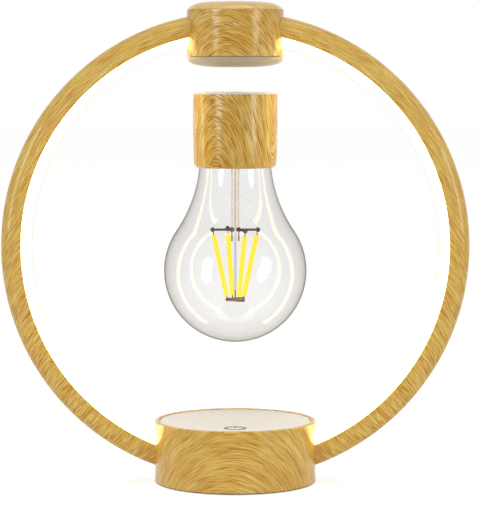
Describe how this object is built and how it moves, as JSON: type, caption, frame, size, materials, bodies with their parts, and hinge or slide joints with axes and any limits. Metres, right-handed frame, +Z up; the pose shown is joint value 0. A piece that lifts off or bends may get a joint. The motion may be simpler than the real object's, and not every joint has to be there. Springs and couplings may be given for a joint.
{
  "type": "levitating lamp",
  "caption": "Levitating lamp: a filament-style bulb with its own cap floats under an electromagnet housing held in a round wooden hoop with an inner light strip, on a drum-shaped base.",
  "frame": {"origin": "middle of the foot, on the table", "axes": "+Z up, +X to the right along the hoop's plane, and the front with the touch mark faces -Y"},
  "size_m": [0.198, 0.0686, 0.2041],
  "materials": {
    "wood": "satin",
    "cap_wood": "satin",
    "white_plastic": "satin",
    "grey_plastic": "satin",
    "diffuser": "matte",
    "foot_rubber": "matte",
    "black_plastic": "satin",
    "mark_metal": "satin",
    "steel": "satin",
    "copper": "satin",
    "foam": "matte",
    "board": "satin",
    "can": "satin",
    "magnet": "gloss",
    "white_cord": "satin",
    "bulb_glass": "gloss",
    "stem_glass": "gloss",
    "nickel_wire": "satin",
    "filament": "gloss"
  },
  "bodies": {
    "lamp_body": {"base_shell": "wood", "base_top_panel": "white_plastic", "touch_mark": "mark_metal", "touch_electrode": "copper", "touch_foam": "foam", "bottom_cover": "black_plastic", "foot_pad": "foot_rubber", "cover_screw_1": "steel", "cover_screw_2": "steel", "cover_screw_3": "steel", "arm_screw_left": "steel", "arm_screw_right": "steel", "ballast_plate": "steel", "control_board": "board", "board_capacitor_1": "can", "board_capacitor_2": "can", "board_inductor": "copper", "board_processor": "black_plastic", "board_power_transistor": "black_plastic", "dc_jack_body": "black_plastic", "dc_jack_pin": "mark_metal", "hoop_arm_left": "wood", "hoop_arm_right": "wood", "light_strip_left": "board", "light_strip_right": "board", "diffuser_left": "diffuser", "diffuser_right": "diffuser", "arm_lead_left": "white_cord", "arm_lead_right": "white_cord", "housing_shell": "wood", "housing_cover": "grey_plastic", "arm_plate": "steel", "plate_screw_left": "steel", "plate_screw_right": "steel", "coil_bobbin": "black_plastic", "lift_coil": "copper", "coil_core": "steel", "bias_magnet": "magnet", "hall_sensor_board": "board", "transmit_coil": "copper"},
    "float_magnet": {"float_magnet": "magnet"},
    "bulb_unit": {"cap_shell": "cap_wood", "cap_disc": "white_plastic", "magnet_cup": "black_plastic", "receiver_coil": "copper", "rectifier_board": "board", "smoothing_capacitor": "can", "neck_collar": "white_plastic", "bulb_glass": "bulb_glass", "glass_stem": "stem_glass", "lead_wire_left": "nickel_wire", "lead_wire_right": "nickel_wire", "support_arms_left": "nickel_wire", "support_arms_right": "nickel_wire", "filament_1": "filament", "filament_2": "filament", "filament_3": "filament", "filament_4": "filament", "lower_wire_ring": "nickel_wire"}
  },
  "joints": [
    {"name": "bulb_float", "type": "slide", "parent": "lamp_body", "child": "float_magnet", "axis": [0, 0, 1], "range_m": [-0.0329, 0.0099], "stiffness_N_per_m": 150, "springref_m": 0.00369},
    {"name": "bulb_spin", "type": "hinge", "parent": "float_magnet", "child": "bulb_unit", "pos_m": [0, 0, 0.13415], "axis": [0, 0, 1], "continuous": true}
  ]
}
